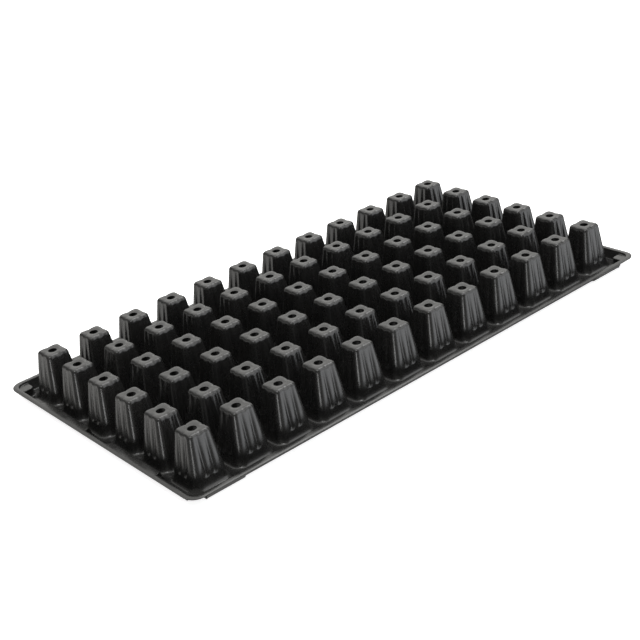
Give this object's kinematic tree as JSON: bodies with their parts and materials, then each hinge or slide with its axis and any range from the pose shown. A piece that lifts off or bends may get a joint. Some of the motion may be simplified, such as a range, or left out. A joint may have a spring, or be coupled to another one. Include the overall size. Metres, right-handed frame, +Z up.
{
  "type": "plug tray",
  "caption": "Thermoformed black propagation tray: a grid of tapered square cells with drain holes, joined by a thin deck with a stepped rim and flange, lying face down.",
  "frame": {"origin": "Centre of the face that the tray stands on as pictured, face down with its cell bases up. That face is the top of the tray in use.", "axes": "+X runs along the long side, +Y along the short side, and +Z points up from the tray's top face towards the cell bases. Turned half a turn about X, the tray is the right way up."},
  "size_m": [0.54, 0.286, 0.045],
  "materials": {
    "black_polystyrene": "black thermoformed polystyrene sheet, semi-gloss"
  },
  "bodies": {
    "root": {"cell_row_01": "black_polystyrene", "cell_row_02": "black_polystyrene", "cell_row_03": "black_polystyrene", "cell_row_04": "black_polystyrene", "cell_row_05": "black_polystyrene", "cell_row_06": "black_polystyrene", "cell_row_07": "black_polystyrene", "cell_row_08": "black_polystyrene", "cell_row_09": "black_polystyrene", "cell_row_10": "black_polystyrene", "cell_row_11": "black_polystyrene", "cell_row_12": "black_polystyrene", "corner_step_back_left": "black_polystyrene", "corner_step_back_right": "black_polystyrene", "corner_step_front_left": "black_polystyrene", "corner_step_front_right": "black_polystyrene", "deck_margin_back": "black_polystyrene", "deck_margin_front": "black_polystyrene", "deck_margin_left": "black_polystyrene", "deck_margin_right": "black_polystyrene", "flange_back": "black_polystyrene", "flange_corner_back_left": "black_polystyrene", "flange_corner_back_right": "black_polystyrene", "flange_corner_front_left": "black_polystyrene", "flange_corner_front_right": "black_polystyrene", "flange_front": "black_polystyrene", "flange_left": "black_polystyrene", "flange_right": "black_polystyrene", "skirt_back": "black_polystyrene", "skirt_front": "black_polystyrene", "skirt_left": "black_polystyrene", "skirt_right": "black_polystyrene"}
  },
  "joints": []
}
